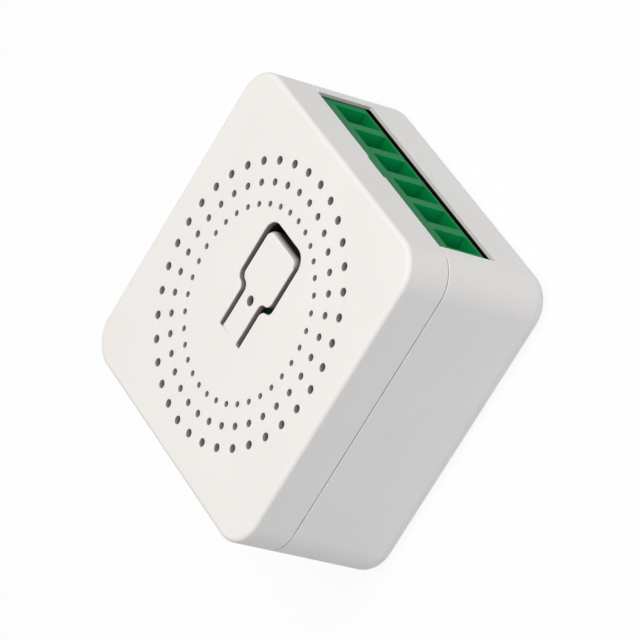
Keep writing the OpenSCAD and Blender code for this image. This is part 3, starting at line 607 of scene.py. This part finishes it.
coverShell = buildCover()
dress(coverShell, housingWhite, holeWalls)
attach(coverShell, "housing")
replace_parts(coverShell, "front_cover")
print("cover built:", len(coverShell.data.polygons), "faces")


# button tongue: the flap that bends at its root on the real part, with the pusher under it; built here at
# rest

def buildTongue():
    t, f = tongue, cover
    bm = bmesh.new()
    outline = bothSides(sideOutline(t["neck"], t["pad"], t["flare"], t["tip"], t["corner"]))
    outline[0] = (t["neck"], t["root"] + t["sunk"])
    outline[-1] = (-t["neck"], t["root"] + t["sunk"])
    softness = []
    for x, y in outline:
        away = ease((t["root"] - y) / t["fade"])
        near = ease(1 - (y - t["tip"]) / t["tipFade"])
        softness.append(t["soft"] * away + (t["tipSoft"] - t["soft"]) * near)
    loops = []
    for side, down in quarterRound(t["softSteps"]):
        moved = shiftOutline(outline, [-e * side for e in softness], len(outline))
        heights = [f["faceZ"] - e * down for e in softness]
        loops.append([bm.verts.new((x, y, z)) for (x, y), z in zip(moved, heights)])
        for v in (loops[-1][0], loops[-1][-1]):
            v.co.z -= t["dip"]  # the root ends just under the cover's face
    under = []
    for x, y in outline:
        past = t["root"] - y
        rise = math.sqrt(max(0, t["grooveR"] ** 2 - past ** 2))
        under.append(bm.verts.new((x, y, f["underZ"] + rise)))
    loops.append(under)
    for k, (a, b) in enumerate(zip(loops[:-1], loops[1:-1])):
        for face in bridge(bm, a, b):
            # painted shade: the round end of the pad takes the darker hole-wall finish
            if k >= t["shadeStart"] and face.calc_center_median().y < t["tip"] + t["corner"]:
                face.material_index = wallFinish
    bridge(bm, loops[-2], loops[-1], wallFinish)
    rim, far = addBore(bm, 0, t["lightY"], t["lightR"], t["lightSides"],
                       f["faceZ"], f["underZ"], t["lightSoft"])
    pusher = addPeg(bm, 0, t["pusherY"], t["pusherR"], t["pusherSides"],
                    f["underZ"], t["pusherZ"], t["pusherSoft"])
    fillFlat(bm, [loops[0], rim])
    fillFlat(bm, [loops[-1], far, pusher])
    obj = newObject("buttonTongue", bm, 2)
    settle(obj)
    return obj


buttonTongue = buildTongue()
dress(buttonTongue, housingWhite, holeWalls)
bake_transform(buttonTongue)
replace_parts(buttonTongue, "button_tongue")
print("tongue built:", len(buttonTongue.data.polygons), "faces")


# rear shell: tray with the terminal window, the board ribs and six driver holes

shell = dict(topZ=14.98, lipReach=19.45, lipZ=16.5, lipEdge=0.1, backEdge=2.2, backSteps=14, floor=1.5,
             innerEdge=0.8, innerSteps=6, windowHalf=15.5, windowLow=7.05, windowSoft=0.05,
             windowCorner=0.2, windowSteps=6, windowLip=0.4, band=1.0, bandReach=0.45, holeR=2.0,
             holeY=-14.6, holeSides=40, holeSoft=0.2, pitch=5.0, poles=6, ribDepth=1.2, ribWidth=2.4,
             ribSunk=0.4, ribZ=14.3, sideRibs=(2.0, -12.0), farRibs=(-9.0, 9.0))


def poleX(i):
    return (i - (shell["poles"] + 1) / 2) * shell["pitch"]


def buildShell():
    f, s = cover, shell
    half, inner = f["half"], f["inner"]
    bm = bmesh.new()
    path = arcPoints(half - s["backEdge"], s["backEdge"], s["backEdge"], -90, 0, s["backSteps"])
    path += arcPoints(half - f["seamEdge"], s["topZ"] - f["seamEdge"], f["seamEdge"], 0, 90, f["seamSteps"])
    path += [(s["lipReach"], s["topZ"]), (s["lipReach"], s["lipZ"] - s["lipEdge"])]
    path += [(s["lipReach"] - s["lipEdge"], s["lipZ"]), (inner, s["lipZ"])]
    path += arcPoints(inner - s["innerEdge"], s["floor"] + s["innerEdge"], s["innerEdge"],
                      0, -90, s["innerSteps"])
    outside, inside = addRings(bm, path)
    holes = [addBore(bm, poleX(i), s["holeY"], s["holeR"], s["holeSides"], 0, s["floor"], s["holeSoft"])
             for i in range(1, s["poles"] + 1)]
    fillFlat(bm, [outside] + [rim for rim, far in holes])
    fillFlat(bm, [inside] + [far for rim, far in holes])
    obj = newObject("rearShell", bm, 4)

    ribs = bmesh.new()
    near, far, w = inner - s["ribDepth"], inner + s["ribSunk"], s["ribWidth"] / 2
    low, high = s["floor"] - overlap, s["ribZ"]
    for y in s["sideRibs"]:
        addBox(ribs, (near, y - w, low), (far, y + w, high))
        addBox(ribs, (-far, y - w, low), (-near, y + w, high))
    for x in s["farRibs"]:
        addBox(ribs, (x - w, near, low), (x + w, far, high))
    carve(obj, newObject("boardRibs", ribs), "UNION")
    beads = bmesh.new()
    addSnaps(beads, snap["r"], snap["length"])
    carve(obj, newObject("snapBeads", beads), "UNION")

    top = s["lipZ"] + 2 * overlap
    window = bmesh.new()
    addFlaredCutter(window, 0, (top + s["windowLow"]) / 2, (2 * s["windowHalf"], top - s["windowLow"]),
                    s["windowCorner"], s["windowSteps"], s["windowSoft"], overlap - inner, -half)
    # the window's cut faces take the lip finish, painted shade
    carve(obj, newObject("terminalWindow", window, 4, lipShadeFinish))
    # the thinned band's faces take the inside finish, painted near-black shade
    band = bmesh.new()
    side = s["windowHalf"] + s["band"]
    addBox(band, (-side, s["windowLip"] - half, s["windowLow"] - s["band"]),
           (side, s["bandReach"] - inner, top))
    carve(obj, newObject("thinnedBand", band, 3, insideFinish))
    settle(obj)
    return obj


rearShell = buildShell()
dress(rearShell, housingWhite, driverWalls, insideShade, windowLip)
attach(rearShell, "housing")
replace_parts(rearShell, "rear_shell")
print("shell built:", len(rearShell.data.polygons), "faces")


# terminal block: one green moulding with six wire entries

block = dict(half=15.4, noseY=-19.85, frontY=-18.35, backY=-10.15, lowZ=2.0, topZ=14.3, noseLow=7.85,
             upstandY=-18.6, upstandZ=15.0, soft=0.1, softSteps=4, rimReach=0.01, entryW=3.6, entryLow=8.3,
             entryHigh=13.0, entrySoft=0.08, entryCorner=0.12, entrySteps=5, cavityW=4.1,
             cavityFront=-17.35, cavityBack=-11.85, cavityLow=3.8, cavityHigh=13.7, cavityReach=0.3,
             screwY=-14.6, headR=2.0, headTop=3.3, headSides=40, shankR=1.35, shankSides=32, barW=2.7,
             barLow=8.4, barHigh=9.3, pinBack=-10.85, pinFront=-11.85, pinW=1.4)


def addTerminalRoom(tools, x):
    # cutters for one terminal: wire entry, cage, screw head, shank, bar and pin
    b = block
    into = b["cavityReach"]  # how far the cutters round the cage's room reach into it
    entrySize = (b["entryW"], b["entryHigh"] - b["entryLow"])
    addFlaredCutter(tools["entries"], x, (b["entryLow"] + b["entryHigh"]) / 2, entrySize, b["entryCorner"],
                    b["entrySteps"], b["entrySoft"], b["cavityFront"] + into, b["noseY"])
    w = b["cavityW"] / 2
    addBox(tools["rooms"], (x - w, b["cavityFront"], b["cavityLow"]),
           (x + w, b["cavityBack"], b["cavityHigh"]))
    addRod(tools["heads"], (x, b["screwY"], b["lowZ"] - overlap), (x, b["screwY"], b["headTop"]),
           b["headR"], b["headSides"])
    addRod(tools["shanks"], (x, b["screwY"], b["headTop"] - into), (x, b["screwY"], b["cavityLow"] + into),
           b["shankR"], b["shankSides"])
    w = b["barW"] / 2
    addBox(tools["bars"], (x - w, b["cavityBack"] - into, b["barLow"]), (x + w, b["pinBack"], b["barHigh"]))
    w = b["pinW"] / 2
    addBox(tools["pins"], (x - w, b["pinFront"], b["barLow"]), (x + w, b["pinBack"], b["topZ"] + overlap))


def buildBlock():
    b = block
    bm = bmesh.new()
    profile = [(b["backY"], b["lowZ"]), (b["backY"], b["topZ"]),
               (b["upstandY"], b["topZ"]), (b["upstandY"], b["upstandZ"]),
               (b["noseY"], b["upstandZ"]), (b["noseY"], b["noseLow"]),
               (b["frontY"], b["noseLow"]), (b["frontY"], b["lowZ"])]
    left, right = [[bm.verts.new((x, y, z)) for y, z in profile] for x in (-b["half"], b["half"])]
    bridge(bm, left, right)
    bm.faces.new(left)
    bm.faces.new(right)
    bmesh.ops.recalc_face_normals(bm, faces=bm.faces)
    rims = [e for e in bm.edges if all(v.co.y < b["noseY"] + b["rimReach"] for v in e.verts)]
    bmesh.ops.bevel(bm, geom=rims, offset=b["soft"], segments=b["softSteps"], profile=0.5, affect="EDGES")
    obj = newObject("terminalBlock", bm, 3)

    tools = {name: bmesh.new() for name in ("entries", "rooms", "heads", "shanks", "bars", "pins")}
    for i in range(1, shell["poles"] + 1):
        addTerminalRoom(tools, poleX(i))
    # painted shade on the low side of each wire entry, painted lighter green on its other walls
    for face in tools["entries"].faces:
        low = face.calc_center_median().z < b["entryLow"] + b["entryCorner"]
        face.material_index = sillShadeFinish if low else wallFinish
    for name, tool in tools.items():
        carve(obj, newObject(name, tool, 3))
    settle(obj)
    return obj


terminalBlock = buildBlock()
dress(terminalBlock, terminalGreen, entryGreen, sillGreen)
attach(terminalBlock, "housing")
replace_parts(terminalBlock, "terminal_block")
print("terminal block built:", len(terminalBlock.data.polygons), "faces")


# terminal screws: pan head with a cross recess, threaded shank

screw = dict(y=-14.6, headZ=2.1, headTop=3.3, headR=1.9, flatR=0.95, headEdge=0.3, headSteps=5, shankR=1.25,
             endZ=8.3, endTaper=0.35, pitch=0.5, threadDepth=0.16, threadStart=0.1, threadStop=0.4,
             slotW=0.62, slotReach=1.482, slotDepth=0.62, around=36, perTurn=8, sharpAngle=32)


def buildScrew(i):
    s = screw
    bm = bmesh.new()
    n = s["around"]
    section = [(s["flatR"], s["headZ"])]
    section += arcPoints(s["headR"] - s["headEdge"], s["headZ"] + s["headEdge"], s["headEdge"],
                         -90, 0, s["headSteps"])
    section += [(s["headR"], s["headTop"]), (s["shankR"], s["headTop"])]
    loops = [addLoop(bm, circlePoints(0, 0, r, n), z) for r, z in section]
    rows = int((s["endZ"] - s["headTop"] - s["threadStop"]) / s["pitch"] * s["perTurn"])
    for row in range(1, rows + 1):
        z = s["headTop"] + s["threadStart"] + row * s["pitch"] / s["perTurn"]
        loop = []
        for k in range(n):
            a = 2 * math.pi * k / n
            phase = ((z - s["headTop"]) / s["pitch"] - k / n) % 1.0
            r = s["shankR"] - s["threadDepth"] * abs(2 * phase - 1)
            loop.append(bm.verts.new((r * math.cos(a), r * math.sin(a), z)))
        loops.append(loop)
    loops.append(addLoop(bm, circlePoints(0, 0, s["shankR"] - s["endTaper"], n), s["endZ"]))
    bridgeAll(bm, loops)
    bm.faces.new(loops[0])
    bm.faces.new(loops[-1])
    bmesh.ops.translate(bm, verts=bm.verts, vec=(poleX(i), s["y"], 0))
    obj = newObject(f"terminalScrew{i}", bm)
    middle = Vector((poleX(i), s["y"], s["headZ"]))
    for x, y in ((s["slotReach"], s["slotW"] / 2), (s["slotW"] / 2, s["slotReach"])):
        recess = bmesh.new()
        addBox(recess, middle - Vector((x, y, overlap)), middle + Vector((x, y, s["slotDepth"])))
        carve(obj, newObject("driverRecess", recess))
    settle(obj, s["sharpAngle"])
    dress(obj, screwSteel)
    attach(obj, f"screw_{i}")
    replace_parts(obj, f"terminal_screw_{i}")


for i in range(1, shell["poles"] + 1):
    buildScrew(i)
print("screws built")


# finishes of the parts that stay as they come from the frame

partLooks = dict(
    board_green=(printedBoard, dict(
        colour=(0.008, 0.055, 0.020), trackScale=190.0, weaveScale=900.0, rough=(0.22, 0.36), grain=0.12)),
    radio_blue=(printedBoard, dict(
        colour=(0.008, 0.020, 0.090), trackScale=320.0, weaveScale=1100.0, rough=(0.22, 0.36), grain=0.12)),
    cage_metal=(sheetMetal, dict(
        colour=(0.66, 0.66, 0.64), lines=(1, 0.08, 1), lineScale=2200.0, cloudScale=420.0,
        rough=(0.22, 0.4), grain=0.15)),
    tinned_metal=(sheetMetal, dict(
        colour=(0.72, 0.71, 0.68), lines=(1, 1, 0.1), lineScale=2000.0, cloudScale=600.0,
        rough=(0.26, 0.46), grain=0.18)),
    plated_steel=(sheetMetal, dict(
        colour=(0.60, 0.60, 0.59), lines=(0.07, 1, 1), lineScale=2400.0, cloudScale=380.0,
        rough=(0.2, 0.36), grain=0.12)),
    spring_copper=(sheetMetal, dict(
        colour=(0.80, 0.46, 0.24), lines=(1, 1, 0.06), lineScale=2600.0, cloudScale=450.0,
        rough=(0.22, 0.4), grain=0.12)),
    enamelled_wire=(woundWire, dict(
        colour=(0.48, 0.17, 0.05), along="X", turnScale=1400.0, rough=(0.2, 0.34), grain=0.7, metal=0.55)),
    winding_tape=(woundWire, dict(
        colour=(0.75, 0.52, 0.08), along="Z", turnScale=260.0, rough=(0.28, 0.42), grain=0.25, metal=0.0)),
    dark_plastic=(mouldedPlastic, dict(
        colour=(0.022, 0.022, 0.024), drift=0.12, driftScale=300.0, grain=0.12, grainScale=3800.0,
        grainDepth=0.00002, rough=(0.4, 0.56), gloss=0.45)),
    pale_plastic=(mouldedPlastic, dict(
        colour=(0.68, 0.65, 0.55), drift=0.04, driftScale=260.0, grain=0.08, grainScale=3600.0,
        grainDepth=0.00002, rough=(0.36, 0.5), gloss=0.45)),
    relay_blue=(mouldedPlastic, dict(
        colour=(0.030, 0.105, 0.360), drift=0.06, driftScale=200.0, grain=0.1, grainScale=3600.0,
        grainDepth=0.00002, rough=(0.32, 0.46), gloss=0.5)),
    clear_lens=(mouldedPlastic, dict(
        colour=(0.78, 0.84, 0.80), drift=0.05, driftScale=700.0, grain=0.04, grainScale=5200.0,
        grainDepth=0.00001, rough=(0.12, 0.22), gloss=0.5)),
    sleeve_dark=(speckled, dict(
        colour=(0.018, 0.016, 0.045), speck=1.6, speckScale=1600.0, rough=(0.24, 0.36), grain=0.08)),
    ferrite=(speckled, dict(
        colour=(0.030, 0.030, 0.032), speck=2.2, speckScale=3200.0, rough=(0.5, 0.66), grain=0.3)),
    coated_blue=(speckled, dict(
        colour=(0.015, 0.075, 0.330), speck=1.35, speckScale=1100.0, rough=(0.22, 0.34), grain=0.2)),
    coated_green=(speckled, dict(
        colour=(0.040, 0.190, 0.130), speck=1.35, speckScale=1200.0, rough=(0.3, 0.44), grain=0.2)),
)
leads = dict(colour=(0.70, 0.69, 0.66), startZ=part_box("main_board")[0][2])


def tinLeads(mat):
    # tinned and soldered from the underside of the board upwards
    tree = mat.node_tree
    shader = tree.nodes["Principled BSDF"]
    above = tree.nodes.new("ShaderNodeMath")
    above.operation = "GREATER_THAN"
    above.inputs[1].default_value = leads["startZ"]
    tree.links.new(heightOf(tree, tree.nodes["Texture Coordinate"].outputs["Object"]), above.inputs[0])
    tone = tree.nodes.new("ShaderNodeMix")
    tone.data_type = "RGBA"
    body = shader.inputs["Base Color"].links[0].from_socket
    tree.links.new(above.outputs[0], tone.inputs["Factor"])
    tree.links.new(body, tone.inputs["A"])
    tone.inputs["B"].default_value = (*leads["colour"], 1)
    tree.links.new(tone.outputs["Result"], shader.inputs["Base Color"])
    tree.links.new(above.outputs[0], shader.inputs["Metallic"])


def hangsUnderBoard(node):
    # hangs under the board and has leads that go up through it
    low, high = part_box(node)
    return high[2] > leads["startZ"] > (low[2] + high[2]) / 2


def finishName(slotName):
    words = slotName.split("_")
    return words[0] + "".join(w.capitalize() for w in words[1:]) + "Finish"


madeFinishes = {}
replaced = {name for obj in bpy.data.objects for name in obj.get("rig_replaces", [])}
for row in frame["record"]["subparts"]:
    if row["node"] in replaced:
        continue
    slotName = row["material_slot"]
    maker, look = partLooks[slotName]
    leaded = maker is not sheetMetal and hangsUnderBoard(row["node"])
    if (slotName, leaded) not in madeFinishes:
        finish = maker(finishName(slotName), look)
        if leaded:
            tinLeads(finish)
        madeFinishes[slotName, leaded] = finish
    dress(frame["nodes"][row["node"]], madeFinishes[slotName, leaded])
print("board parts finished:", len(madeFinishes), "finishes")


# floor, light and camera

studio = dict(floorSize=3.0, floorGrid=8, floorColour=(0.80, 0.83, 0.86), floorZ=-0.00003, floorWhite=0.93,
              skyLevel=0.2, skyColour=(0.80, 0.90, 1.0), lampSize=0.7, lampAway=1.1, lampTilt=20.0,
              lampTurn=33.0, lampPower=11.8, lampColour=(1.0, 0.95, 0.90))


def seenDirectly(tree):
    # 1 for camera, glossy and transmission rays, 0 for light that falls on things
    rays = tree.nodes.new("ShaderNodeLightPath").outputs
    seen = rays["Is Camera Ray"]
    for name in ("Is Glossy Ray", "Is Transmission Ray"):
        either = tree.nodes.new("ShaderNodeMath")
        either.operation = "MAXIMUM"
        tree.links.new(seen, either.inputs[0])
        tree.links.new(rays[name], either.inputs[1])
        seen = either.outputs[0]
    return seen


def mixSurface(tree, share, first, second, output):
    mix = tree.nodes.new("ShaderNodeMixShader")
    tree.links.new(share, mix.inputs["Fac"])
    tree.links.new(first.outputs[0], mix.inputs[1])
    tree.links.new(second.outputs[0], mix.inputs[2])
    tree.links.new(mix.outputs[0], tree.nodes[output].inputs["Surface"])


def buildFloor():
    s = studio
    bm = bmesh.new()
    bmesh.ops.create_grid(bm, x_segments=s["floorGrid"], y_segments=s["floorGrid"], size=s["floorSize"] / 2)
    bmesh.ops.translate(bm, verts=bm.verts, vec=(0, 0, s["floorZ"]))
    mesh = bpy.data.meshes.new("studioFloor")
    bm.to_mesh(mesh)
    bm.free()
    obj = bpy.data.objects.new("studioFloor", mesh)
    scene.collection.objects.link(obj)
    mat = bpy.data.materials.new("floorPaper")
    mat.use_nodes = True
    tree = mat.node_tree
    tree.nodes.remove(tree.nodes["Principled BSDF"])
    paper = tree.nodes.new("ShaderNodeBsdfDiffuse")
    paper.inputs["Color"].default_value = (*s["floorColour"], 1)
    glow = tree.nodes.new("ShaderNodeEmission")
    share = tree.nodes.new("ShaderNodeMath")
    share.operation = "MULTIPLY"
    share.inputs[1].default_value = s["floorWhite"]
    tree.links.new(seenDirectly(tree), share.inputs[0])
    mixSurface(tree, share.outputs[0], paper, glow, "Material Output")
    mesh.materials.append(mat)


def buildLight():
    s = studio
    world = bpy.data.worlds.new("studioSky")
    world.use_nodes = True
    scene.world = world
    tree = world.node_tree
    soft = tree.nodes["Background"]
    soft.inputs["Color"].default_value = (*s["skyColour"], 1)
    soft.inputs["Strength"].default_value = s["skyLevel"]
    white = tree.nodes.new("ShaderNodeBackground")
    white.inputs["Color"].default_value = (1, 1, 1, 1)
    mixSurface(tree, seenDirectly(tree), soft, white, "World Output")
    lamp = bpy.data.lights.new("overhead", "AREA")
    lamp.shape = "SQUARE"
    lamp.size = s["lampSize"]
    lamp.energy = s["lampPower"]
    lamp.color = s["lampColour"]
    obj = bpy.data.objects.new("overhead", lamp)
    lean = Euler((math.radians(s["lampTilt"]), 0, -math.radians(s["lampTurn"])))
    obj.location = lean.to_matrix() @ Vector((0, 0, s["lampAway"]))
    obj.rotation_euler = lean
    scene.collection.objects.link(obj)


# camera of the photo, in millimetres and degrees
shot = dict(place=(-354.386, -177.991, 322.582), turn=(17.57242, 49.54864, -130.77018),
            lens=253.16, sensor=36.0, near=10.0)


def buildCamera():
    data = bpy.data.cameras.new("photoCamera")
    data.lens = shot["lens"]
    data.sensor_width = shot["sensor"]
    data.clip_start = shot["near"] * mm
    obj = bpy.data.objects.new("photoCamera", data)
    obj.location = Vector(shot["place"]) * mm
    obj.rotation_euler = Euler([math.radians(a) for a in shot["turn"]])
    scene.collection.objects.link(obj)
    scene.camera = obj


buildFloor()
buildLight()
buildCamera()
scene.view_settings.view_transform = "Standard"
print("floor, light and camera set")
